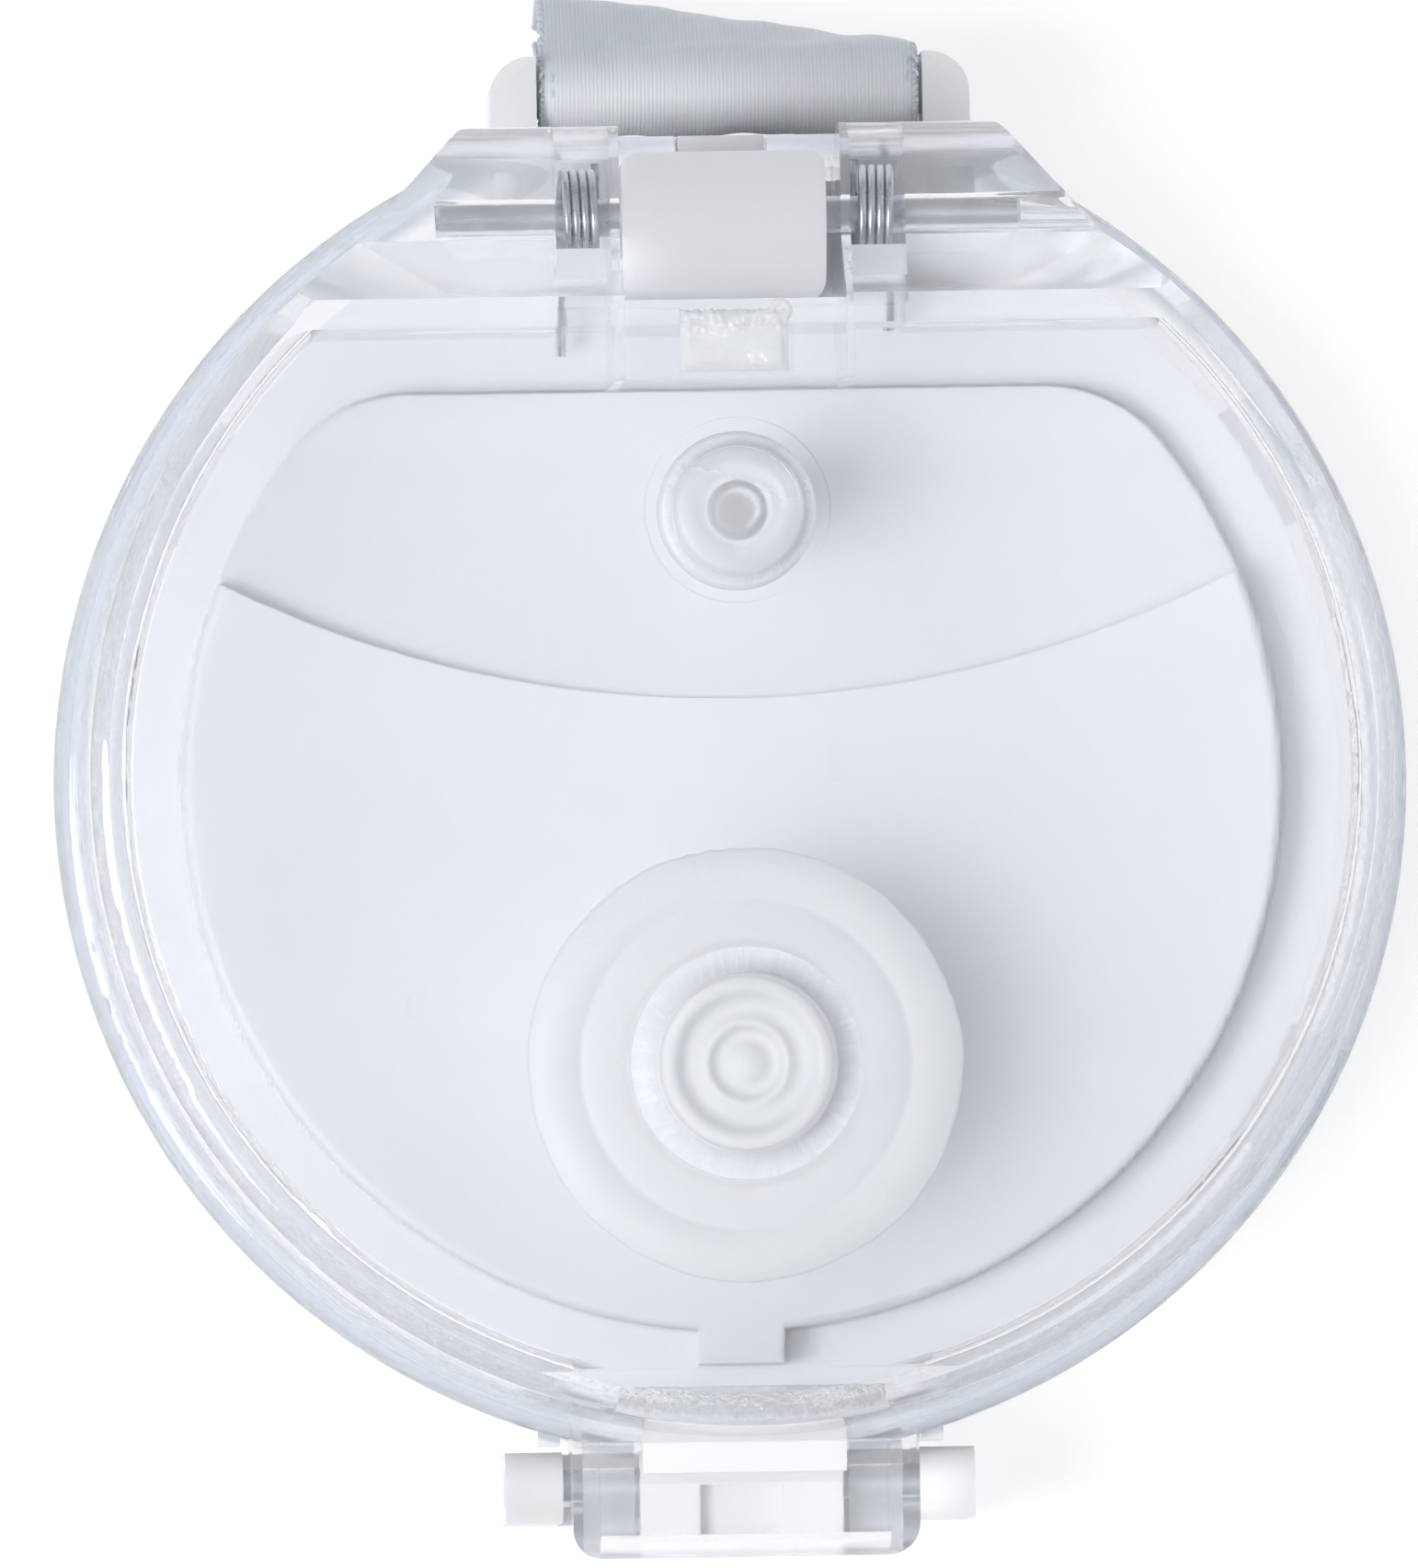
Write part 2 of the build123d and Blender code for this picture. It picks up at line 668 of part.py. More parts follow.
def thumb_lip():
    """Hollow lip in front of the cover that covers the button."""
    z0 = lip_bottom
    plan = Circle(cover_radius - 0.3) + Pos(0, -lip_front / 2) * Rectangle(2 * lip_half, lip_front)
    inward = [v for v in plan.vertices() if abs(abs(v.X) - lip_half) < 0.01 and v.Y > -cover_radius - 1]
    plan = fillet(inward, lip_flare)
    outward = [v for v in plan.vertices() if v.Y < -lip_front + 0.01]
    plan = fillet(outward, lip_corner_round)
    lip = Pos(0, 0, z0) * extrude(plan, amount=lip_top - z0)
    nose = across([
        (-lip_front - past, z0), (0, z0), (0, lip_top), (-lip_front, lip_top), (-lip_front - past, lip_top),
    ], -far, far)
    reach = lip_front - lip_nose_round
    corner = block(-far, far, -lip_front - past, -reach, lip_top - lip_nose_round, lip_top + past)
    corner = corner - rod(lip_nose_round, -far, far, -reach, lip_top - lip_nose_round)
    lip = (lip & nose) - corner
    lip = lip - post(body_radius + cover_gap, 0, 0, z0 - past, rim_z)
    hollow = lip_half - lip_side_wall
    back = -cover_radius
    front = lip_front_wall - lip_front
    lip = lip - block(-hollow, hollow, front, back, z0 - past, lip_top - lip_top_wall)
    return lip - post(cover_radius - cover_wall, 0, 0, z0 - past, lip_top + past)


def cover():
    """The clear flip-top cover."""
    body = cover_profile() - hinge_step() - corner_facets() - cavity_profile()
    body = (body + hinge_block()) & hinge_side()
    body = body + inner_ribs() + thumb_lip()
    body = body - front_pocket() - hinge_cuts()
    body = body + seal_ring(spout_ring_outer, spout_ring_inner, spout_ring_drop, spout_y)
    body = body + seal_ring(vent_ring_outer, vent_ring_inner, vent_ring_drop, vent_y)
    gate_y = rib_front + 0.1
    floor = lid_height - pocket_depth
    body = body + block(-gate_half, gate_half, gate_y, gate_y + gate_length, floor - 0.1, floor + gate_height)
    return single(body)


def hinge_pin():
    """Steel pin through the block and the knuckle."""
    pin = rod(pin_radius, -pin_length / 2, pin_length / 2, hinge_y, hinge_z)
    return single(chamfer(pin.edges().filter_by(GeomType.CIRCLE), pin_chamfer))


def tangent_angle(reach, drop, radius):
    """Where a wire to the point at -reach, -drop leaves a coil from below, in radians from +Y."""
    away = math.hypot(reach, drop)
    towards = math.atan2(-drop, -reach)
    return towards + math.acos(radius / away)


def hinge_spring(reach):
    """Torsion spring on the pin: one wire with a leg on the base, a coil and a leg in the cover's slot."""
    wire = spring_wire / 2
    radius = spring_outer_radius - wire
    drop = hinge_z - base_height - wire - 0.05
    leave = tangent_angle(reach, drop, radius)
    turns = spring_turns - (leave + math.pi / 2) / (2 * math.pi)
    width = spring_pitch * turns
    inner = slot_inner + (slot_width - width) / 2
    coil = Helix(pitch=spring_pitch, height=width, radius=radius, lefthand=True)
    coil = Plane(origin=(inner, hinge_y, hinge_z), x_dir=(0, 0, -1), z_dir=(1, 0, 0)) * coil
    base_leg = math.hypot(reach + radius * math.cos(leave), drop + radius * math.sin(leave))
    cover_end = coil @ 0 - (coil % 0) * cover_leg_reach
    base_end = coil @ 1 + (coil % 1) * base_leg
    path = Wire([Edge.make_line(cover_end, coil @ 0), coil.edge(), Edge.make_line(coil @ 1, base_end)])
    return single(sweep(Plane(origin=path @ 0, z_dir=path % 0) * Circle(wire), path=path))


# ---- seals ----

def spout_seal():
    """Silicone disc under the cover: a hub in the ring boss and a plug in the spout's mouth."""
    top = plate_z - spout_ring_drop
    bottom = top - seal_thickness
    hub = spout_ring_inner - piece_gap
    plug = spout_bore_radius - seal_plug_gap
    seal = turned([
        (0, bottom), (plug - seal_plug_wall, bottom), (plug - seal_plug_wall, bottom - seal_plug_depth),
        (plug - seal_bevel, bottom - seal_plug_depth), (plug, bottom), (seal_radius - seal_bevel, bottom),
        (seal_radius, bottom + seal_bevel), (seal_radius, top), (hub, top), (hub, plate_z - seal_hub_gap),
        (0, plate_z - seal_hub_gap),
    ], y=spout_y)
    return single(seal)


def vent_seal():
    """Small silicone pad under the cover that closes the vent tube."""
    top = plate_z - vent_ring_drop
    bottom = top - seal_thickness
    hub = vent_ring_inner - piece_gap
    seal = turned([
        (0, bottom), (vent_pad_radius, bottom), (vent_pad_radius, top), (hub, top),
        (hub, plate_z - seal_hub_gap), (0, plate_z - seal_hub_gap),
    ], y=vent_y)
    return single(seal)


# ---- latch ----

def push_button():
    """White rocker: a thumb pad below the pin and a hook arm above it."""
    back = latch_y_gap(front_flat_y + button_back_gap)
    arm_back = latch_y_gap(cover_radius + arm_gap)
    tip = latch_y_gap(cover_radius - hook_reach)
    arm_front = arm_back - arm_thickness
    shelf = lug_top
    outline = [
        (-button_front, -button_bottom), (back, -button_bottom), (back, -button_hub_radius),
        (arm_back, -button_hub_radius * 0.5), (arm_back, hook_top - hook_height),
        (tip, hook_top - hook_height), (tip, hook_top - hook_height * 0.6), (arm_back + 0.3, hook_top),
        (arm_front, hook_top), (arm_front, shelf + 0.5), (arm_front - 0.5, shelf),
        (0.8 - button_front, shelf), (-button_front, shelf - 0.8),
    ]
    points = [(latch_y + y, latch_z + z) for y, z in outline]
    button = across(points, -button_half, button_half)
    front = [e for e in button.edges().filter_by(Axis.Z) if e.center().Y < latch_y - button_front + 0.01]
    button = fillet(front, button_edge_round)
    notch_y = latch_y + arm_front - 0.6
    button = button - block(-button_notch_half, button_notch_half, notch_y - button_notch_length, notch_y,
                            latch_z + shelf - button_notch_depth, latch_z + shelf + 1)
    button = button - rod(pin_radius + pin_running_gap, -far, far, latch_y, latch_z)
    pocket = Rot(90, 0, 0) * Cylinder(button_spring_radius + spring_pocket_gap, 2 * spring_pocket_depth)
    return single(button - Pos(0, latch_y + back, button_spring_z) * pocket)


def latch_y_gap(distance):
    """Where a distance in front of the cap's axis lies, measured back from the latch pin."""
    return -distance - latch_y


def latch_pin():
    """Steel pin through the lugs, the button and the ring's arms."""
    half = ring_outer_half - latch_pin_inset
    pin = rod(pin_radius, -half, half, latch_y, latch_z)
    return single(chamfer(pin.edges().filter_by(GeomType.CIRCLE), pin_chamfer))


def button_spring():
    """Compression spring between the front flat and the button's pocket."""
    wire = button_spring_wire / 2
    start = front_flat_y + wire
    length = button_back_gap + spring_pocket_depth - 2 * wire - 0.1
    radius = button_spring_radius - wire
    path = Helix(pitch=length / button_spring_turns, height=length, radius=radius)
    coil = sweep(Plane(origin=path @ 0, z_dir=path % 0) * Circle(wire), path=path, is_frenet=True)
    axis = Plane(origin=(0, -start - 0.02, button_spring_z), x_dir=(1, 0, 0), z_dir=(0, -1, 0))
    return single(axis * coil)


def lock_ring():
    """White ring: two arms on the latch pin and a crossbar, hanging down."""
    half = ring_arm_width / 2
    z0 = latch_z - ring_bar_radius - ring_bar_thickness
    bar_top = latch_z - ring_bar_radius
    arm = block(ring_inner_half, ring_outer_half, latch_y - half, latch_y + half, z0, latch_z)
    arm = arm + rod(half, ring_inner_half, ring_outer_half, latch_y, latch_z)
    bar = block(-ring_outer_half, ring_outer_half, latch_y - half, latch_y + half, z0, bar_top)
    ring = both_sides(arm) + bar
    corners = [e for e in ring.edges().filter_by(Axis.Y) if e.center().Z < z0 + 0.01]
    ring = fillet(corners, ring_corner_round)
    inner = [
        e for e in ring.edges().filter_by(Axis.Y)
        if abs(e.center().Z - bar_top) < 0.01 and abs(abs(e.center().X) - ring_inner_half) < 0.01
    ]
    ring = fillet(inner, ring_inner_round)
    ring = ring - rod(pin_radius + pin_running_gap, -far, far, latch_y, latch_z)
    return single(ring)


# ---- strap ----

def strap_bracket():
    """White bracket: two barbed arms through the shell and a round bar for the webbing."""
    z0 = bar_z - bracket_height / 2
    z1 = bar_z + bracket_height / 2
    x0 = bracket_half - bracket_arm
    barb_y = barb_rear - barb_length
    arm = block(x0, bracket_half, barb_y, bracket_rear, z0, z1)
    outer = [e for e in arm.edges().filter_by(Axis.Z) if e.center().X > x0 + 0.1 and e.center().Y > bar_y]
    arm = fillet(outer, bracket_corner)
    arm = arm + block(x0, bracket_half, barb_y, barb_rear, z0 - barb_height, z1 + barb_height)
    bar = rod(bar_radius, -x0 - sunk, x0 + sunk, bar_y, bar_z)
    return Pos(bracket_shift, 0, 0) * single(both_sides(arm) + bar)


def leaning(shape):
    """The hanging shape leaned back about the strap's bar."""
    return Pos(bracket_shift, bar_y, bar_z) * Rot(strap_lean, 0, 0) * shape


def strap():
    """Webbing loop round the bracket's bar, its two layers sewn together below."""
    half = strap_width / 2
    inner = bar_radius + strap_gap
    outer = inner + strap_thickness
    wrap = rod(outer, -half, half, 0, 0)
    end = rod(strap_thickness, -half, half, 0, -strap_drop + strap_thickness)
    low = -strap_drop + strap_thickness
    sides = across([(-outer, 0), (outer, 0), (strap_thickness, low * strap_close),
                    (strap_thickness, low), (-strap_thickness, low), (-strap_thickness, low * strap_close)],
                   -half, half)
    loop = wrap + sides + end - rod(inner, -far, far, 0, 0)
    return single(leaning(loop))


def strap_stitching():
    """Bar tack across both faces of the webbing loop."""
    half = tack_length / 2
    y0 = strap_thickness
    tack = block(-half, half, y0, y0 + tack_proud, -tack_drop - tack_height / 2, -tack_drop + tack_height / 2)
    return leaning(tack + mirror(tack, about=Plane.XZ))


def main():
    """Write one STEP file per piece."""
    os.makedirs("parts", exist_ok=True)
    pieces = {
        "outer_shell": outer_shell(),
        "inner_cap": inner_cap(),
        "neck_gasket": neck_gasket(),
        "vent_valve": vent_valve(),
        "cover": cover(),
        "hinge_pin": hinge_pin(),
        "spring_right": hinge_spring(base_leg_reach["right"]),
        "spring_left": mirror(hinge_spring(base_leg_reach["left"]), about=Plane.YZ),
        "spout_seal": spout_seal(),
        "vent_seal": vent_seal(),
        "push_button": push_button(),
        "button_spring": button_spring(),
        "latch_pin": latch_pin(),
        "lock_ring": lock_ring(),
        "strap_bracket": strap_bracket(),
        "strap": strap(),
        "strap_stitching": strap_stitching(),
    }
    for name, shape in pieces.items():
        export_step(shape, f"parts/{name}.step")


main()
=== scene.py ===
"""Looks of a clear flip-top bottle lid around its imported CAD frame. Metres. +Z up, +Y to the hinge."""

import json
import math
import random

import bmesh
import bpy
from mathutils import Matrix, Vector


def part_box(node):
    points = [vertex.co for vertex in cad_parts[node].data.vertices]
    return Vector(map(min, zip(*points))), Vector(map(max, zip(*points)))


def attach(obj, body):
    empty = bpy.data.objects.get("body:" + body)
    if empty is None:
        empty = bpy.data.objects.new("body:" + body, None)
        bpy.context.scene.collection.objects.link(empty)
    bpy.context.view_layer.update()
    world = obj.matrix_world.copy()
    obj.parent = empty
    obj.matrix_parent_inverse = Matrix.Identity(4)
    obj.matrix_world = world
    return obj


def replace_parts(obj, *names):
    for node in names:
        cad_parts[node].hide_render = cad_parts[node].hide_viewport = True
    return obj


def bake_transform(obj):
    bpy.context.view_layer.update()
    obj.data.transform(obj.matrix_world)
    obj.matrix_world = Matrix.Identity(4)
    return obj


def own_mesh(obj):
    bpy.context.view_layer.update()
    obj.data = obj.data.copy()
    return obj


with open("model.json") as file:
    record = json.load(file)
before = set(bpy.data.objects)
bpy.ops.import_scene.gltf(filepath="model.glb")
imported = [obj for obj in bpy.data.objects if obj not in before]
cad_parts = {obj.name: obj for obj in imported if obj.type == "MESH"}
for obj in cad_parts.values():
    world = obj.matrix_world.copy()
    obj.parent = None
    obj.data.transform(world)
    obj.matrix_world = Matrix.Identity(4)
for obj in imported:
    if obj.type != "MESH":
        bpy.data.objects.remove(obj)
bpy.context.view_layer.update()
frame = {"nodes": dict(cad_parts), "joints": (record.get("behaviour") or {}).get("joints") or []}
nodes = frame["nodes"]
joints = {j["name"]: j for j in frame["joints"]}
rng = random.Random(41)
MM = 0.001


# ---------------------------------------------------------------- node helpers

class Mat:
    """A material's node tree with short helpers."""

    def __init__(self, name):
        self.mat = bpy.data.materials.new(name)
        self.mat.use_nodes = True
        self.tree = self.mat.node_tree
        self.tree.nodes.clear()
        self.out = self.add("ShaderNodeOutputMaterial")
        self.coords = self.add("ShaderNodeTexCoord").outputs["Object"]

    def add(self, kind, **values):
        node = self.tree.nodes.new(kind)
        for key, value in values.items():
            setattr(node, key, value)
        return node

    def link(self, a, b):
        self.tree.links.new(a, b)

    def put(self, socket, value):
        """Sets a socket to a number or colour, or links it to another socket."""
        if isinstance(value, bpy.types.NodeSocket):
            self.link(value, socket)
        elif isinstance(value, tuple) and len(value) == 3 and len(socket.default_value) == 4:
            socket.default_value = (*value, 1.0)
        else:
            socket.default_value = value

    def math(self, operation, a, b=None, clamp=False):
        node = self.add("ShaderNodeMath", operation=operation, use_clamp=clamp)
        self.put(node.inputs[0], a)
        if b is not None:
            self.put(node.inputs[1], b)
        return node.outputs[0]

    def spread(self, value, low, high, to_low, to_high):
        """The value's range low..high mapped to to_low..to_high, clamped."""
        node = self.add("ShaderNodeMapRange", clamp=True)
        for socket, number in zip(node.inputs, (value, low, high, to_low, to_high)):
            self.put(socket, number)
        return node.outputs[0]

    def mix(self, factor, a, b):
        node = self.add("ShaderNodeMix", data_type="RGBA")
        self.put(node.inputs["Factor"], factor)
        self.put(node.inputs["A"], a)
        self.put(node.inputs["B"], b)
        return node.outputs["Result"]

    def scaled(self, x, y, z):
        node = self.add("ShaderNodeMapping")
        self.link(self.coords, node.inputs["Vector"])
        node.inputs["Scale"].default_value = (x, y, z)
        return node.outputs["Vector"]

    def noise(self, scale, detail=3.0, rough=0.5, vector=None):
        node = self.add("ShaderNodeTexNoise")
        self.link(vector or self.coords, node.inputs["Vector"])
        node.inputs["Scale"].default_value = scale
        node.inputs["Detail"].default_value = detail
        node.inputs["Roughness"].default_value = rough
        return node.outputs["Fac"]

    def cells(self, scale, vector=None):
        node = self.add("ShaderNodeTexVoronoi")
        self.link(vector or self.coords, node.inputs["Vector"])
        node.inputs["Scale"].default_value = scale
        return node.outputs["Distance"]

    def split(self):
        node = self.add("ShaderNodeSeparateXYZ")
        self.link(self.coords, node.inputs[0])
        return node.outputs

    def bump(self, height, distance, strength=1.0, under=None):
        node = self.add("ShaderNodeBump")
        self.link(height, node.inputs["Height"])
        node.inputs["Distance"].default_value = distance
        node.inputs["Strength"].default_value = strength
        if under:
            self.link(under, node.inputs["Normal"])
        return node.outputs["Normal"]

    def principled(self, **values):
        node = self.add("ShaderNodeBsdfPrincipled")
        for key, value in values.items():
            self.put(node.inputs[key.replace("_", " ")], value)
        return node

    def done(self, shader):
        self.link(shader.outputs[0], self.out.inputs["Surface"])
        return self.mat

    def lets_light_through(self, shader, tint):
        """The shader, with shadows as light as clear plastic's are."""
        path = self.add("ShaderNodeLightPath")
        clear = self.add("ShaderNodeBsdfTransparent")
        clear.inputs["Color"].default_value = (*tint, 1.0)
        mixed = self.add("ShaderNodeMixShader")
        self.link(path.outputs["Is Shadow Ray"], mixed.inputs[0])
        self.link(shader.outputs[0], mixed.inputs[1])
        self.link(clear.outputs[0], mixed.inputs[2])
        return self.done(mixed)


# ---------------------------------------------------------------- materials

def clear_plastic(name, tint, ripple, wear, clear, beaded=0.0, painted_rim_shade=None):
    """Clear moulded copolyester: faint flow ripples, fine scuffs, a slight haze and a beaded ring where asked, and
    where asked a painted shade on the shell wall's rim.
    """
    m = Mat(name)
    x, y, z = m.split()
    flow = m.noise(160.0, 2.0, vector=m.scaled(1.0, 0.45, 1.3))
    scuffs = m.noise(2600.0, 4.0, 0.7, vector=m.scaled(1.0, 0.12, 1.0))
    patches = m.noise(90.0, 3.0)
    worn = m.math("MULTIPLY", m.spread(scuffs, 0.6, 0.78, 0.0, 1.0), m.spread(patches, 0.5, 0.68, 0.0, 1.0))
    rough = m.math("ADD", m.spread(patches, 0.3, 0.7, 0.02, 0.07), m.math("MULTIPLY", worn, wear), clamp=True)
    normal = m.bump(flow, 0.00035, ripple)
    normal = m.bump(scuffs, 0.00002, 0.25, normal)
    reach = m.math("SQRT", m.math("ADD", m.math("MULTIPLY", x, x), m.math("MULTIPLY", y, y)))
    if beaded:
        inside = m.spread(reach, 0.0324, 0.0327, 0.0, 1.0)
        outside = m.spread(reach, 0.0336, 0.0339, 1.0, 0.0)
        below = m.spread(z, 0.0320, 0.0328, 1.0, 0.0)
        before = m.math("MULTIPLY", below, m.spread(y, 0.015, 0.018, 1.0, 0.0))
        band = m.math("MULTIPLY", m.math("MULTIPLY", inside, outside), before)
        beads = m.math("MULTIPLY", m.noise(1300.0, 3.0, 0.7, vector=m.scaled(1.0, 1.0, 0.25)), band)
        normal = m.bump(beads, 0.00022, beaded, normal)
        rough = m.math("ADD", rough, m.math("MULTIPLY", band, 0.12), clamp=True)
    colour = m.mix(m.spread(patches, 0.35, 0.65, 0.0, 1.0), tint, tuple(c * 0.985 for c in tint))
    # Painted shade: where the shell wall's faces turn upward, its rim is coloured darker to stand in for the shade of
    # looking down through the plastic's depth.
    if painted_rim_shade:
        facing = m.add("ShaderNodeSeparateXYZ")
        m.link(m.add("ShaderNodeNewGeometry").outputs["True Normal"], facing.inputs[0])
        level = m.spread(m.math("ABSOLUTE", facing.outputs["Z"]), 0.35, 0.6, 0.0, 1.0)
        wall = m.math("MULTIPLY", m.spread(reach, 0.0336, 0.0342, 0.0, 1.0), m.spread(reach, 0.0361, 0.0364, 1.0, 0.0))
        rim_shade_mask = m.math("MULTIPLY", wall, level)
        colour = m.mix(rim_shade_mask, colour, painted_rim_shade)
    shader = m.principled(
        Base_Color=colour, Roughness=rough, IOR=1.5, Transmission_Weight=clear, Normal=normal,
        Specular_IOR_Level=0.5,
    )
    return m.lets_light_through(shader, (0.985, 0.988, 0.992))


def white_plastic(name, colour, shade, painted_light_beyond_y=None):
    """White moulded polypropylene: satin, with fine grain, flow shading and soft edge wear, and where asked painted
    light on the part beyond a given y.
    """
    m = Mat(name)
    cloud = m.noise(70.0, 3.0)
    grain = m.noise(2400.0, 3.0, 0.6)
    pores = m.spread(m.cells(1400.0), 0.0, 0.25, 0.0, 1.0)
    bevel = m.add("ShaderNodeNewGeometry").outputs["Pointiness"]
    edge = m.spread(bevel, 0.5, 0.58, 0.0, 0.5)
    base = m.mix(m.spread(cloud, 0.3, 0.7, 0.0, 1.0), colour, shade)
    # Painted light: beyond the given y, at the hinge knuckle outside the cover, the same plastic is coloured lighter
    # to stand in for the light it gets there.
    if painted_light_beyond_y:
        base = m.mix(m.spread(m.split()[1], painted_light_beyond_y, painted_light_beyond_y + 0.0004, 0.0, 0.8), base, (0.93, 0.933, 0.94))
    base = m.mix(edge, base, tuple(min(1.0, c * 1.05) for c in colour))
    specks = m.spread(m.cells(150.0), 0.008, 0.014, 0.5, 0.0)
    base = m.mix(specks, base, (0.3, 0.32, 0.36))
    normal = m.bump(grain, 0.00003, 0.4)
    normal = m.bump(pores, 0.00001, 0.25, normal)
    shader = m.principled(
        Base_Color=base, Roughness=m.spread(grain, 0.35, 0.65, 0.3, 0.44), IOR=1.49, Normal=normal,
        Subsurface_Weight=0.25, Subsurface_Scale=0.0015,
    )
    shader.inputs["Subsurface Radius"].default_value = (1.0, 1.0, 1.0)
    return m.done(shader)


def silicone(name, colour, clear, low, high):
    """Translucent silicone: a soft haze, mould grain and the dust that clings to it."""
    m = Mat(name)
    cloud = m.noise(140.0, 4.0)
    grain = m.noise(1900.0, 4.0, 0.65)
    specks = m.spread(m.cells(700.0), 0.0, 0.05, 1.0, 0.0)
    base = m.mix(m.spread(cloud, 0.3, 0.7, 0.0, 1.0), colour, tuple(c * 0.97 for c in colour))
    base = m.mix(m.math("MULTIPLY", specks, 0.35), base, (0.72, 0.75, 0.8))
    normal = m.bump(grain, 0.00005, 0.5)
    shader = m.principled(
        Base_Color=base, Roughness=m.spread(cloud, 0.3, 0.7, low, high), IOR=1.41,
        Transmission_Weight=clear, Normal=normal,
    )
    return m.lets_light_through(shader, (0.9, 0.905, 0.915))


def steel(name, lines):
    """Drawn stainless wire and ground pins: fine draw lines and dull spots."""
    m = Mat(name)
    drawn = m.noise(900.0, 3.0, 0.6, vector=m.scaled(*lines))
    spots = m.noise(420.0, 4.0)
    base = m.mix(m.spread(spots, 0.4, 0.7, 0.0, 1.0), (0.66, 0.68, 0.72), (0.52, 0.545, 0.59))
    normal = m.bump(drawn, 0.00002, 0.6)
    shader = m.principled(
        Base_Color=base, Metallic=1.0, Roughness=m.spread(drawn, 0.3, 0.7, 0.22, 0.4), Normal=normal,
    )
    return m.done(shader)


def webbing(name):
    """White woven webbing: fine lengthwise ribs crossed by the weft, with a satin sheen and a painted shade that greys
    its far face.
    """
    m = Mat(name)
    x, y, z = m.split()
    wave = m.add("ShaderNodeTexWave", wave_type="BANDS", bands_direction="X")
    m.link(m.coords, wave.inputs["Vector"])
    wave.inputs["Scale"].default_value = 1500.0
    wave.inputs["Distortion"].default_value = 1.2
    wave.inputs["Detail"].default_value = 2.0
    fibres = m.noise(3800.0, 3.0, 0.6, vector=m.scaled(1.0, 0.1, 0.1))
    weft = m.add("ShaderNodeTexWave", wave_type="BANDS", bands_direction="Z")
    m.link(m.coords, weft.inputs["Vector"])
    weft.inputs["Scale"].default_value = 420.0
    weft.inputs["Distortion"].default_value = 1.0
    cloud = m.noise(220.0, 3.0)
    height = m.math("ADD", wave.outputs["Fac"], m.math("MULTIPLY", weft.outputs["Fac"], 0.35))
    normal = m.bump(height, 0.00003, 0.55)
    normal = m.bump(fibres, 0.00003, 0.8, normal)
    base = m.mix(m.spread(wave.outputs["Fac"], 0.1, 0.9, 0.0, 1.0), (0.8, 0.82, 0.86), (0.93, 0.94, 0.96))
    base = m.mix(m.spread(cloud, 0.35, 0.65, 0.0, 0.4), base, (0.88, 0.9, 0.93))
    # Painted shade: beyond the fold, the loop's far face is coloured grey-blue, standing in for the shade it falls in.
    face = m.spread(y, 0.0368, 0.0392, 0.0, 0.7)
    base = m.mix(face, base, (0.55, 0.585, 0.66))
    shader = m.principled(
        Base_Color=base, Roughness=m.spread(fibres, 0.3, 0.7, 0.5, 0.7), Normal=normal, Sheen_Weight=0.35,
        Sheen_Roughness=0.4, Subsurface_Weight=0.15, Subsurface_Scale=0.001,
    )
    return m.done(shader)


def stitch_thread(name):
    """Twisted white sewing thread."""
    m = Mat(name)
    twist = m.add("ShaderNodeTexWave", wave_type="BANDS", bands_direction="DIAGONAL")
    m.link(m.coords, twist.inputs["Vector"])
    twist.inputs["Scale"].default_value = 1500.0
    twist.inputs["Distortion"].default_value = 0.8
    base = m.mix(twist.outputs["Fac"], (0.7, 0.73, 0.79), (0.92, 0.93, 0.96))
    shader = m.principled(
        Base_Color=base, Roughness=m.spread(m.noise(900.0), 0.3, 0.7, 0.45, 0.6),
        Normal=m.bump(twist.outputs["Fac"], 0.00004, 0.9), Sheen_Weight=0.3,
    )
    return m.done(shader)


CLEAR_COVER = clear_plastic("clear_cover", (0.982, 0.986, 0.993), 0.10, 0.10, 0.91, 0.7)
# The shell's rim gets a painted shade colour.
CLEAR_SHELL = clear_plastic("clear_shell", (0.965, 0.973, 0.988), 0.12, 0.14, 0.78, painted_rim_shade=(0.66, 0.695, 0.76))
TORN = clear_plastic("torn_gate", (0.96, 0.968, 0.98), 0.6, 0.4, 0.35)
BURR = clear_plastic("moulding_flash", (0.955, 0.965, 0.98), 0.4, 0.35, 0.7)
# The cap is painted lighter beyond y 24.2 mm, at its hinge knuckle, as painted light.
WHITE_CAP = white_plastic("white_cap", (0.79, 0.805, 0.84), (0.765, 0.785, 0.825), 0.0242)
WHITE_PART = white_plastic("white_part", (0.94, 0.945, 0.955), (0.915, 0.922, 0.94))
SEAL = silicone("frosted_silicone", (0.88, 0.888, 0.905), 0.5, 0.4, 0.55)
SOFT_SEAL = silicone("clear_silicone", (0.93, 0.938, 0.95), 0.72, 0.22, 0.38)
STEEL_PIN = steel("ground_steel", (0.08, 1.0, 1.0))
STEEL_WIRE = steel("drawn_wire", (0.6, 1.0, 1.0))
WEBBING = webbing("white_webbing")
THREAD = stitch_thread("white_thread")

for node, material in {
    "cover": CLEAR_COVER, "outer_shell": CLEAR_SHELL, "inner_cap": WHITE_CAP, "push_button": WHITE_PART,
    "lock_ring": WHITE_PART, "strap_bracket": WHITE_PART, "neck_gasket": SEAL, "vent_valve": SEAL,
    "hinge_pin": STEEL_PIN, "latch_pin": STEEL_PIN, "spring_left": STEEL_WIRE, "spring_right": STEEL_WIRE,
    "button_spring": STEEL_WIRE, "spout_seal": SEAL, "vent_seal": SOFT_SEAL,
}.items():
    mesh = nodes[node].data
    mesh.materials.clear()
    mesh.materials.append(material)


# ---------------------------------------------------------------- mesh helpers

def smoothstep(t):
    t = min(1.0, max(0.0, t))
    return t * t * (3 - 2 * t)


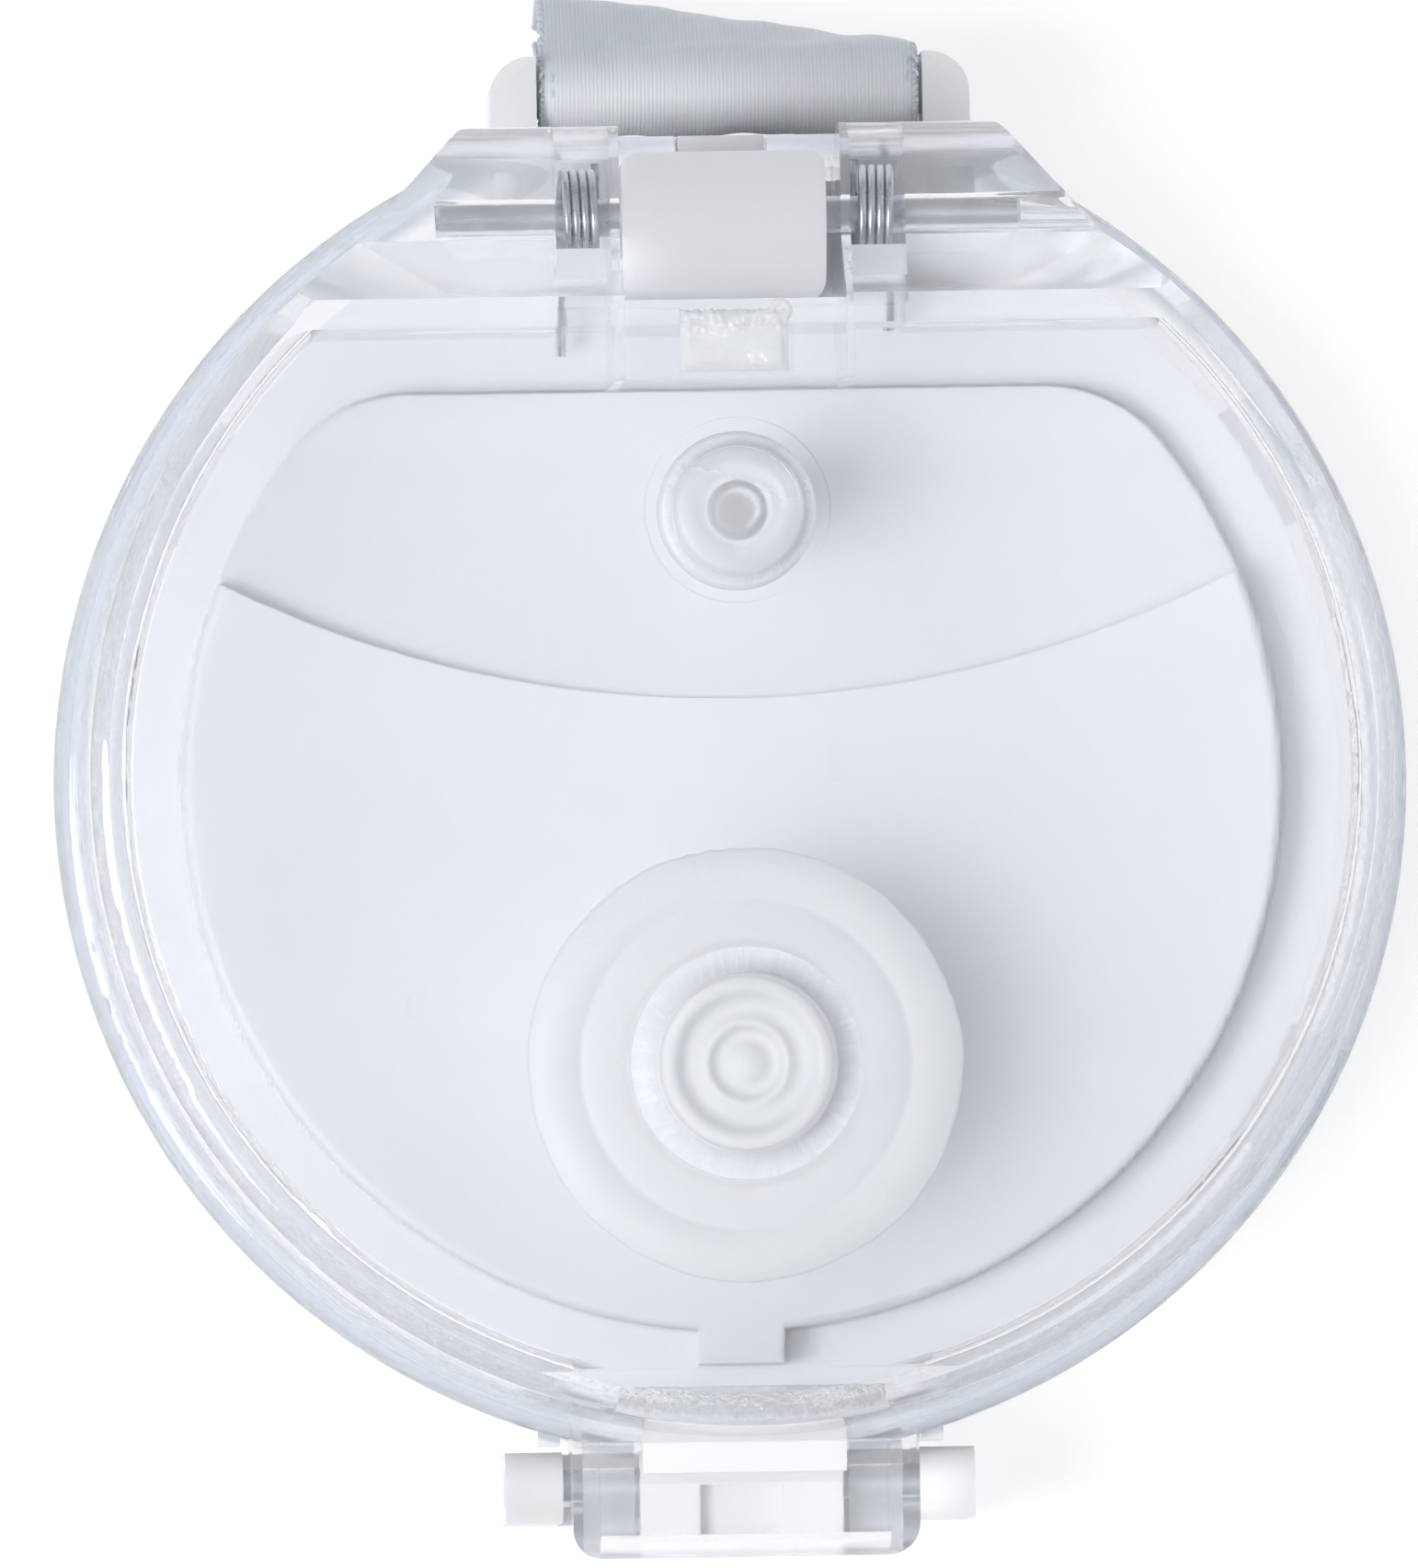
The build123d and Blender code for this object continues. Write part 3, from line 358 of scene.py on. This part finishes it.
def new_object(name, bm, material, body, smooth=True):
    """A named object from a bmesh, with its material and body."""
    bmesh.ops.recalc_face_normals(bm, faces=bm.faces[:])
    mesh = bpy.data.meshes.new(name)
    bm.to_mesh(mesh)
    bm.free()
    for polygon in mesh.polygons:
        polygon.use_smooth = smooth
    mesh.materials.append(material)
    obj = bpy.data.objects.new(name, mesh)
    bpy.context.scene.collection.objects.link(obj)
    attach(obj, body)
    return obj


def turned(bm, profile, centre, steps, wobble=None):
    """A closed ring or disc turned about Z through centre, from (radius, z) points in mm."""
    rings = []
    for i in range(steps):
        angle = 2 * math.pi * i / steps
        ring = []
        for r, z in profile:
            extra = wobble(angle, r, z) if wobble else 0.0
            radius = (r + extra) * MM
            ring.append(bm.verts.new((
                centre[0] + radius * math.cos(angle), centre[1] + radius * math.sin(angle), z * MM,
            )))
        rings.append(ring)
    count = len(profile)
    for i in range(steps):
        a, b = rings[i], rings[(i + 1) % steps]
        for k in range(count):
            n = (k + 1) % count
            corners = (a[k], a[n], b[n], b[k])
            if profile[k][0] == 0 and profile[n][0] == 0:
                continue
            bm.faces.new(corners)
    bmesh.ops.remove_doubles(bm, verts=bm.verts[:], dist=1e-7)


def tube(bm, points, radius, sides=12, ends=True):
    """A closed round tube along points in metres."""
    rings = []
    previous = None
    for i, p in enumerate(points):
        a = points[max(i - 1, 0)]
        b = points[min(i + 1, len(points) - 1)]
        along = (Vector(b) - Vector(a)).normalized()
        if previous is None:
            side = along.orthogonal().normalized()
        else:
            side = (previous - along * previous.dot(along)).normalized()
        previous = side
        up = along.cross(side)
        r = radius(i / (len(points) - 1)) if callable(radius) else radius
        rings.append([
            bm.verts.new(Vector(p) + (side * math.cos(t) + up * math.sin(t)) * r)
            for t in (2 * math.pi * k / sides for k in range(sides))
        ])
    for a, b in zip(rings, rings[1:]):
        for k in range(sides):
            n = (k + 1) % sides
            bm.faces.new((a[k], a[n], b[n], b[k]))
    if ends:
        bm.faces.new(rings[0][::-1])
        bm.faces.new(rings[-1])


# ---------------------------------------------------------------- seals

spout_low, spout_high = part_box("spout_seal")
vent_low, vent_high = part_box("vent_seal")
SPOUT = ((spout_low.x + spout_high.x) / 2, (spout_low.y + spout_high.y) / 2)
VENT = ((vent_low.x + vent_high.x) / 2, (vent_low.y + vent_high.y) / 2)
SEAL_TOP = 30.6
SEAL_BOTTOM = 29.4


def spout_seal_piece():
    """The frosted disc with moulded steps in its hub, a plug below and a torn flash at its rim."""
    tears = [(math.radians(98), 0.10, 0.9), (math.radians(60), 0.05, 0.5), (math.radians(20), 0.07, 0.45),
             (math.radians(-12), 0.04, 0.4), (math.radians(205), 0.05, 0.4), (math.radians(300), 0.04, 0.5)]

    def wobble(angle, r, z):
        if r < 11.0:
            return 0.0
        worn = 0.035 * math.sin(7 * angle + 0.6) + 0.02 * math.sin(23 * angle) - 0.1
        for at, depth, width in tears:
            away = math.atan2(math.sin(angle - at), math.cos(angle - at))
            worn -= depth * math.exp(-(away / width * 4) ** 2) * (1 + 0.6 * math.sin(61 * angle))
        return worn

    profile = [
        (0, SEAL_BOTTOM), (4.6, SEAL_BOTTOM), (4.9, SEAL_BOTTOM - 0.15), (4.95, 28.2), (5.15, 28.0),
        (6.05, 28.0), (6.2, 28.15), (6.45, 29.25), (6.6, SEAL_BOTTOM), (11.2, SEAL_BOTTOM), (11.45, 29.5),
        (11.6, 29.75), (11.6, 30.4), (11.45, 30.6), (8.9, 30.6), (8.75, 30.5), (8.6, 30.6), (6.4, 30.6),
        (4.62, 30.6), (4.6, 32.5), (4.35, 32.75), (3.7, 32.75), (3.55, 32.2), (2.5, 32.05), (2.35, 32.4),
        (1.95, 32.4), (1.8, 31.9), (1.1, 31.8), (0.9, 32.2), (0, 32.25),
    ]
    bm = bmesh.new()
    turned(bm, profile, SPOUT, 240, wobble)
    piece = new_object("spout_seal_disc", bm, SEAL, "cover")
    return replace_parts(piece, "spout_seal")


def vent_seal_piece():
    """The small clear pad with its nub."""
    profile = [
        (0, SEAL_BOTTOM), (3.9, SEAL_BOTTOM), (4.2, 29.65), (4.2, 30.35), (3.95, 30.6), (3.38, 30.6),
        (3.36, 32.5), (3.1, 32.75), (2.3, 32.75), (2.05, 32.2), (1.65, 32.0), (1.5, 32.3), (1.42, 32.7),
        (1.0, 32.78), (0, 32.78),
    ]
    bm = bmesh.new()
    turned(bm, profile, VENT, 96)
    piece = new_object("vent_seal_pad", bm, SOFT_SEAL, "cover")
    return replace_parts(piece, "vent_seal")


spout_seal_piece()
vent_seal_piece()


# ---------------------------------------------------------------- steel springs

HINGE = Vector(joints["cover_hinge"]["pos_m"]) / MM
WIRE = 0.225
COIL_RADIUS = 2.425
COIL_PITCH = 0.47
COVER_LEG = 3.0
SLOT_INNER, SLOT_WIDTH = 6.35, 2.9
LEG_DROP = 6.225


def hinge_spring(side, reach):
    """Torsion spring: a leg in the cover's slot, the coil and a leg on the base."""
    away = math.hypot(reach, LEG_DROP)
    leave = math.atan2(-LEG_DROP, -reach) + math.acos(COIL_RADIUS / away)
    turns = 4.0 - (leave + math.pi / 2) / (2 * math.pi)
    width = COIL_PITCH * turns
    inner = SLOT_INNER + (SLOT_WIDTH - width) / 2
    points = [Vector((inner, COVER_LEG * (1 - k / 4), -COIL_RADIUS)) for k in range(4)]
    count = int(turns * 44)
    for i in range(count + 1):
        a = 2 * math.pi * turns * i / count
        points.append(Vector((inner + width * i / count, -COIL_RADIUS * math.sin(a), -COIL_RADIUS * math.cos(a))))
    direction = (points[-1] - points[-2]).normalized()
    direction.x = 0.0
    length = math.hypot(reach + COIL_RADIUS * math.cos(leave), LEG_DROP + COIL_RADIUS * math.sin(leave))
    last = points[-1].copy()
    for k in range(1, 6):
        points.append(last + direction.normalized() * length * k / 5)
    bm = bmesh.new()
    placed = [Vector((p.x * side, HINGE.y + p.y, HINGE.z + p.z)) * MM for p in points]
    tube(bm, placed, WIRE * MM, 12)
    label = "right" if side > 0 else "left"
    piece = new_object(f"torsion_spring_{label}", bm, STEEL_WIRE, "cover")
    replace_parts(piece, f"spring_{label}")
    piece.parent = None
    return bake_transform(piece)


def button_spring_piece():
    """Compression spring in the button's pocket, its last turns closed and ground."""
    low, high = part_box("button_spring")
    centre = (low + high) / 2
    wire = 0.2 * MM
    radius = (high.x - low.x) / 2 - wire
    first, last = low.y + wire, high.y - wire
    turns = 4.2
    points = []
    count = 180
    for i in range(count + 1):
        t = i / count
        a = 2 * math.pi * turns * t
        share = smoothstep(t) * 0.5 + t * 0.5
        points.append(Vector((
            centre.x + radius * math.cos(a), first + (last - first) * share, centre.z + radius * math.sin(a),
        )))
    bm = bmesh.new()
    tube(bm, points, wire, 10)
    piece = new_object("coil_spring", bm, STEEL_WIRE, "base")
    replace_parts(piece, "button_spring")
    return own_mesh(piece)


hinge_spring(1, 6.2)
hinge_spring(-1, 7.3)
button_spring_piece()


# ---------------------------------------------------------------- moulding marks

def lump(bm, centre, size, spin, roughness, draws, points=14):
    """A small torn scrap of plastic: a flattened ball with uneven points, closed."""
    verts = []
    made = bmesh.ops.create_icosphere(bm, subdivisions=2, radius=1.0)
    turn = Matrix.Rotation(spin, 3, "Z")
    for v in made["verts"]:
        stretch = 1 + roughness * (draws.random() - 0.5)
        v.co = Vector(centre) * MM + turn @ (Vector((v.co.x * size[0], v.co.y * size[1], v.co.z * size[2])) * stretch * MM)
        verts.append(v)
    return verts


def gate_mark():
    """The sprue's broken stub in the gate pocket: a low block with a ragged top edge and a curled burr."""
    draws = random.Random(5)
    bm = bmesh.new()
    x0, x1, y0, y1 = -2.95, 2.75, 21.15, 24.4
    nx, ny = 46, 26
    top = {}
    bottom = {}
    for i in range(nx + 1):
        for j in range(ny + 1):
            u, v = i / nx, j / ny
            x, y = x0 + (x1 - x0) * u, y0 + (y1 - y0) * v
            border = min(u, 1 - u, v * 0.7, (1 - v) * 0.9) * 2
            h = 34.58 + 0.09 * math.sin(9 * u) * math.sin(7 * v) + 0.05 * draws.random()
            if v > 0.55:
                h += 0.3 * (draws.random() - 0.2) * smoothstep((v - 0.55) * 4)
            if v > 0.93:
                y += 0.16 * (draws.random() - 0.4)
            h -= 0.35 * (1 - smoothstep(border * 6))
            top[i, j] = bm.verts.new((x * MM, y * MM, min(h, 34.93) * MM))
            bottom[i, j] = bm.verts.new((x * MM, y * MM, 34.02 * MM))
    for i in range(nx):
        for j in range(ny):
            bm.faces.new((top[i, j], top[i + 1, j], top[i + 1, j + 1], top[i, j + 1]))
            bm.faces.new((bottom[i, j], bottom[i, j + 1], bottom[i + 1, j + 1], bottom[i + 1, j]))
    for i in range(nx):
        for j in (0, ny):
            bm.faces.new((top[i, j], bottom[i, j], bottom[i + 1, j], top[i + 1, j]))
    for j in range(ny):
        for i in (0, nx):
            bm.faces.new((top[i, j], top[i, j + 1], bottom[i, j + 1], bottom[i, j]))
    burr = [
        Vector((2.35 + 0.42 * math.cos(a), 24.35 + 0.42 * math.sin(a), 34.6)) * MM
        for a in (math.radians(-60 + 22 * k) for k in range(13))
    ]
    tube(bm, burr, lambda t: (0.26 - 0.1 * t) * MM, 10)
    return new_object("gate_mark", bm, TORN, "cover")


def edge_flash():
    """Thin torn flash where the shell's mould halves met, low on both rear corners."""
    draws = random.Random(9)
    bm = bmesh.new()
    for first, last, height, reach in ((119, 129, 16.2, 0.16), (134.5, 138, 16.6, 0.2), (52, 60, 16.4, 0.18),
                                       (45.5, 49, 16.0, 0.12), (181, 189, 9.0, 0.05), (318, 326, 8.0, 0.05)):
        steps = max(8, int((last - first) * 5))
        rows = []
        for i in range(steps + 1):
            t = i / steps
            angle = math.radians(first + (last - first) * t)
            fade = math.sin(math.pi * min(max(t, 0.02), 0.98)) ** 0.5
            out = 35.78 + reach * fade * (0.5 + draws.random())
            z = height + 0.35 * math.sin(t * 5) + 0.12 * draws.random()
            thick = 0.05 + 0.06 * draws.random()
            base = 35.7
            rows.append([
                bm.verts.new((r * MM * math.cos(angle), r * MM * math.sin(angle), (z + dz) * MM))
                for r, dz in ((base, -0.16), (out, -thick), (out, thick), (base, 0.16))
            ])
        for a, b in zip(rows, rows[1:]):
            for k in range(4):
                n = (k + 1) % 4
                bm.faces.new((a[k], a[n], b[n], b[k]))
        bm.faces.new(rows[0][::-1])
        bm.faces.new(rows[-1])
    return new_object("edge_flash", bm, BURR, "base", smooth=False)


def fibres():
    """Fine lint and dust that lies on the deck under the cover."""
    draws = random.Random(23)
    bm = bmesh.new()
    for n in range(16):
        angle = draws.uniform(0, 2 * math.pi)
        reach = draws.uniform(6, 26)
        x, y = reach * math.cos(angle), reach * math.sin(angle) - 4
        if y > 0.5 or math.hypot(x - SPOUT[0] / MM, y - SPOUT[1] / MM) < 11 or math.hypot(x, y) > 27.5:
            continue
        heading = draws.uniform(0, 2 * math.pi)
        bend = draws.uniform(-1.2, 1.2)
        length = draws.uniform(0.6, 2.2)
        points = []
        px, py = x, y
        for k in range(9):
            points.append(Vector((px, py, 18.84 + 0.05 * math.sin(k * 0.8) ** 2)) * MM)
            px += length / 8 * math.cos(heading)
            py += length / 8 * math.sin(heading)
            heading += bend / 8
        tube(bm, points, 0.025 * MM, 6)
    return new_object("lint", bm, THREAD, "base")


gate_mark()
edge_flash()
fibres()


# ---------------------------------------------------------------- strap

BAR = Vector(joints["strap_swing"]["pos_m"])
strap_low, strap_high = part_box("strap")
STRAP_HALF = (strap_high.x - strap_low.x) / 2
BAR.x = (strap_low.x + strap_high.x) / 2
STRAP_INNER = 1.62
STRAP_THICK = 0.9
STRAP_DROP = 9.4


def strap_line(offset):
    """(across, height) of one skin of the loop from its end up the outer side, over the bar and down, in mm."""
    r = STRAP_INNER + offset
    points = []
    for i in range(25):
        down = STRAP_DROP * (1 - i / 24)
        f = down / STRAP_DROP
        meet = 0.04 + offset
        points.append((r + (meet - r) * smoothstep(f), -down))
    for i in range(1, 24):
        a = math.pi * i / 24
        points.append((r * math.cos(a), r * math.sin(a)))
    for i in range(25):
        down = STRAP_DROP * i / 24
        f = down / STRAP_DROP
        meet = 0.04 + offset
        points.append((-(r + (meet - r) * smoothstep(f * 1.25)), -down))
    return points


def strap_place(x, across, height):
    """A point of the loop in the row frame. The loop is twisted: its left side leans back and bellies out more."""
    s = x * MM / STRAP_HALF
    turn = Matrix.Rotation(math.radians(12.0 - 9.0 * s), 3, "X")
    f = max(0.0, -height) / STRAP_DROP
    belly = 2.6 * (0.5 - 0.5 * s) ** 0.8 * math.sin(math.pi * min(1.0, f * 1.02)) ** 1.1 * (1 - 0.25 * f)
    return BAR + turn @ (Vector((x, across + (belly if across > 0 else 0.35 * belly), height)) * MM)


def strap_piece():
    """Webbing wrapped round the bar and sewn to itself below, with thin rolled selvages."""
    count = 40
    outer_skin = strap_line(STRAP_THICK)
    inner_skin = strap_line(0.0)
    bm = bmesh.new()
    half = STRAP_HALF / MM
    grid_out, grid_in = [], []
    for i in range(count + 1):
        s = -1 + 2 * i / count
        x = s * half * 0.995
        edge = max(0.0, (abs(s) - 0.94) / 0.06)
        row_out, row_in = [], []
        for k, ((ao, zo), (ai, zi)) in enumerate(zip(outer_skin, inner_skin)):
            thin = 1 - 0.35 * edge ** 2
            wave = 0.03 * math.sin(8 * s + k * 0.35) + 0.02 * math.sin(23 * s - k * 0.2)
            mid_a, mid_z = (ao + ai) / 2, (zo + zi) / 2
            fold = 1 + (wave if abs(ao) > 1 else 0)
            row_out.append(bm.verts.new(strap_place(x, (mid_a + (ao - mid_a) * thin) * fold, mid_z + (zo - mid_z) * thin)))
            row_in.append(bm.verts.new(strap_place(x, mid_a + (ai - mid_a) * thin, mid_z + (zi - mid_z) * thin)))
        grid_out.append(row_out)
        grid_in.append(row_in)
    last = len(outer_skin) - 1
    for i in range(count):
        for k in range(last):
            bm.faces.new((grid_out[i][k], grid_out[i][k + 1], grid_out[i + 1][k + 1], grid_out[i + 1][k]))
            bm.faces.new((grid_in[i][k], grid_in[i + 1][k], grid_in[i + 1][k + 1], grid_in[i][k + 1]))
        for k in (0, last):
            bm.faces.new((grid_out[i][k], grid_out[i + 1][k], grid_in[i + 1][k], grid_in[i][k]))
    for i in (0, count):
        for k in range(last):
            bm.faces.new((grid_out[i][k], grid_in[i][k], grid_in[i][k + 1], grid_out[i][k + 1]))
    piece = new_object("webbing_loop", bm, WEBBING, "strap")
    subdivide = piece.modifiers.new("smooth", "SUBSURF")
    subdivide.levels = subdivide.render_levels = 1
    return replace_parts(piece, "strap")


def selvages():
    """Rolled edge threads along both sides of the webbing, looped and a little loose at the fold."""
    bm = bmesh.new()
    line = strap_line(STRAP_THICK * 0.5)
    half = STRAP_HALF / MM
    for side in (-1, 1):
        for strand in range(2):
            points = []
            for k in range(len(line) * 3 - 2):
                base, t = divmod(k, 3)
                a = Vector(line[base])
                b = Vector(line[min(base + 1, len(line) - 1)])
                p = a.lerp(b, t / 3)
                phase = k * 0.9 + strand * math.pi
                roll = 0.13 * math.cos(phase)
                lift = 1 + 0.05 * math.sin(phase)
                points.append(strap_place(side * (half * 0.985 + roll), p[0] * lift, p[1] * lift))
            tube(bm, points, 0.17 * MM, 8)
        for n in range(4):
            at = strap_place(side * (half * 0.975), 1.2 - 0.7 * n, 1.75 + 0.35 * math.sin(n * 2.1))
            ring = [
                at + Vector((0.32 * math.cos(a) * side, 0.42 * math.sin(a), 0.22 * math.cos(a * 2) + 0.2)) * MM
                for a in (2 * math.pi * k / 18 for k in range(17))
            ]
            tube(bm, ring, 0.09 * MM, 6)
    return new_object("selvage_threads", bm, WEBBING, "strap")


def stitches():
    """The bar tack: zigzag thread on both faces of the loop near its end."""
    bm = bmesh.new()
    tack_low, tack_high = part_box("strap_stitching")
    span = (tack_high.x - tack_low.x) / MM
    height = -7.35
    pitch = 0.5
    count = int(span / pitch)

    def face_at(x, z, face, out):
        f = -z / STRAP_DROP
        r = STRAP_INNER + STRAP_THICK
        meet = 0.04 + STRAP_THICK
        if face > 0:
            across = r + (meet - r) * smoothstep(f)
        else:
            across = r + (meet - r) * smoothstep(f * 1.25)
        return strap_place(x, face * (across + out), z)

    for face in (-1, 1):
        fine = []
        for i in range(count):
            for k in range(4):
                t = k / 4
                x = -span / 2 + pitch * (i + t)
                z = height + 0.7 * (1 - 2 * t if i % 2 else 2 * t - 1)
                fine.append(face_at(x, z, face, 0.03 + 0.08 * math.sin(math.pi * t)))
        tube(bm, fine, 0.1 * MM, 8)
        for row in (-0.75, 0.75):
            line = [face_at(-span / 2 + span * k / 64, height + row, face, 0.02 + 0.06 * (k % 2)) for k in range(65)]
            tube(bm, line, 0.1 * MM, 8)
    piece = new_object("bar_tack", bm, THREAD, "strap")
    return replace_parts(piece, "strap_stitching")


loop = strap_piece()
edges = selvages()
tack = stitches()


# ---------------------------------------------------------------- floor, light and camera

def stage_floor():
    bm = bmesh.new()
    bmesh.ops.create_grid(bm, x_segments=1, y_segments=1, size=3.0)
    mesh = bpy.data.meshes.new("floor")
    bm.to_mesh(mesh)
    bm.free()
    m = Mat("pale_floor")
    cloud = m.noise(3.0)
    shader = m.principled(
        Base_Color=m.mix(m.spread(cloud, 0.3, 0.7, 0.0, 1.0), (0.56, 0.563, 0.57), (0.58, 0.583, 0.59)),
        Roughness=0.9, Emission_Strength=0.62,
    )
    shader.inputs["Emission Color"].default_value = (1.0, 1.0, 1.0, 1.0)
    mesh.materials.append(m.done(shader))
    floor = bpy.data.objects.new("floor", mesh)
    bpy.context.scene.collection.objects.link(floor)


def area_light(name, place, size, power, colour):
    data = bpy.data.lights.new(name, "AREA")
    data.shape = "DISK"
    data.size = size
    data.energy = power
    data.color = colour
    lamp = bpy.data.objects.new(name, data)
    lamp.location = place
    lamp.rotation_euler = (-Vector(place)).to_track_quat("-Z", "Y").to_euler()
    bpy.context.scene.collection.objects.link(lamp)


stage_floor()
area_light("key", (-0.38, -0.12, 0.62), 0.34, 2.1, (1.0, 1.0, 1.0))
area_light("fill", (0.5, 0.3, 0.6), 0.6, 0.3, (0.95, 0.97, 1.0))

world = bpy.data.worlds.new("studio")
world.use_nodes = True
background = world.node_tree.nodes["Background"]
background.inputs["Color"].default_value = (0.95, 0.97, 1.0, 1.0)
background.inputs["Strength"].default_value = 0.47
bpy.context.scene.world = world
bpy.context.scene.view_settings.view_transform = "Standard"
bpy.context.scene.view_settings.look = "None"

cycles = bpy.context.scene.cycles
cycles.max_bounces = 24
cycles.glossy_bounces = 16
cycles.transmission_bounces = 20
cycles.transparent_max_bounces = 32

DISTANCE = 2.0
FRAME_HEIGHT = 1705 * 0.04901 * MM
target = Vector((-0.00096, 0.0001, 0.012))
towards = Vector((-0.038, -0.031, 1.0)).normalized()
camera_data = bpy.data.cameras.new("camera")
camera_data.sensor_width = 36.0
camera_data.sensor_fit = "AUTO"
camera_data.lens = 36.0 * DISTANCE / FRAME_HEIGHT
camera_data.clip_end = 10.0
camera = bpy.data.objects.new("camera", camera_data)
up = Matrix.Rotation(math.radians(-0.95), 3, "Z") @ Vector((0, 1, 0))
right = up.cross(towards).normalized()
up = towards.cross(right).normalized()
axes = Matrix((right, up, towards)).transposed().to_4x4()
camera.matrix_world = Matrix.Translation(target + towards * DISTANCE) @ axes
bpy.context.scene.collection.objects.link(camera)
bpy.context.scene.camera = camera
